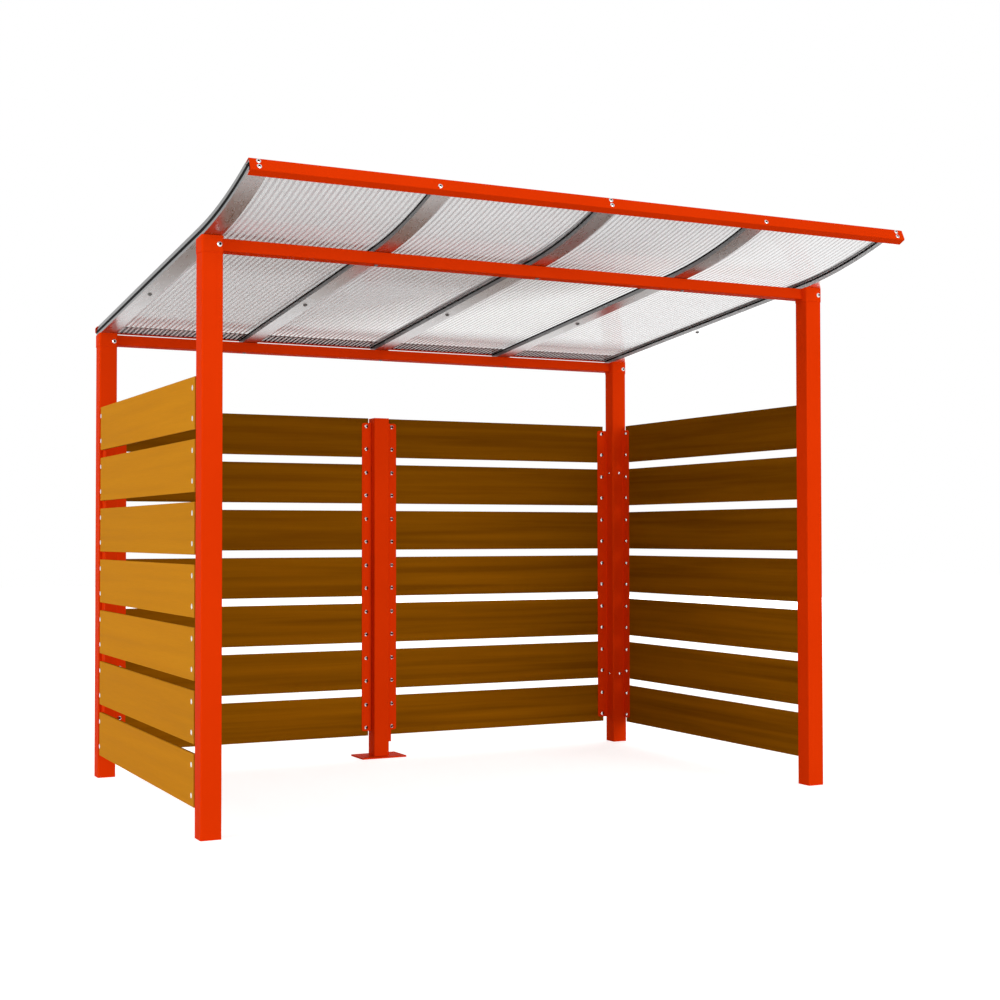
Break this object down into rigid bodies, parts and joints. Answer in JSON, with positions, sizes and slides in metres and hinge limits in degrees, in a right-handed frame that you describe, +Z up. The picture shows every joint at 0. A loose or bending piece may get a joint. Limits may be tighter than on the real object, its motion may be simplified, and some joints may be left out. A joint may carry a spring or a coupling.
{
  "type": "bin shelter",
  "caption": "Open-fronted bin shelter: painted steel frame, slatted board walls on three sides and a ribbed translucent roof that sweeps up at the front.",
  "frame": {"origin": "on the ground below the middle of the whole object's box", "axes": "+Z up, +X to the right seen from the open front, -Y out of the open front"},
  "size_m": [2.988, 2.5076, 2.5073],
  "materials": {
    "frame_paint": "semi-gloss powder coat",
    "boards": "satin stain",
    "rafters": "satin mill finish",
    "seals": "matt",
    "roof_sheets": "ribbed translucent",
    "fixings": "bright stainless"
  },
  "bodies": {
    "root": {"post_front_left": "frame_paint", "head_front_left": "frame_paint", "post_front_right": "frame_paint", "head_front_right": "frame_paint", "post_rear_left": "frame_paint", "head_rear_left": "frame_paint", "post_rear_right": "frame_paint", "head_rear_right": "frame_paint", "post_rear_middle": "frame_paint", "base_plate_middle": "frame_paint", "beam_front": "frame_paint", "beam_rear": "frame_paint", "rafter_left_end": "rafters", "rafter_left_inner": "rafters", "rafter_centre": "rafters", "rafter_right_inner": "rafters", "rafter_right_end": "rafters", "roof_seals": "seals", "roof_sheet_left": "roof_sheets", "roof_sheet_right": "roof_sheets", "clamp_cap_left": "rafters", "clamp_cap_right": "rafters", "clamp_cap_centre": "rafters", "front_fascia": "frame_paint", "rear_trim": "frame_paint", "boards_left_wall": "boards", "boards_right_wall": "boards", "boards_rear_left": "boards", "boards_rear_right": "boards", "corner_bracket_rear_right": "frame_paint", "corner_bracket_rear_left": "frame_paint", "middle_bracket_right": "frame_paint", "middle_bracket_left": "frame_paint", "board_lugs_front_right": "frame_paint", "board_lugs_front_left": "frame_paint"}
  },
  "joints": []
}
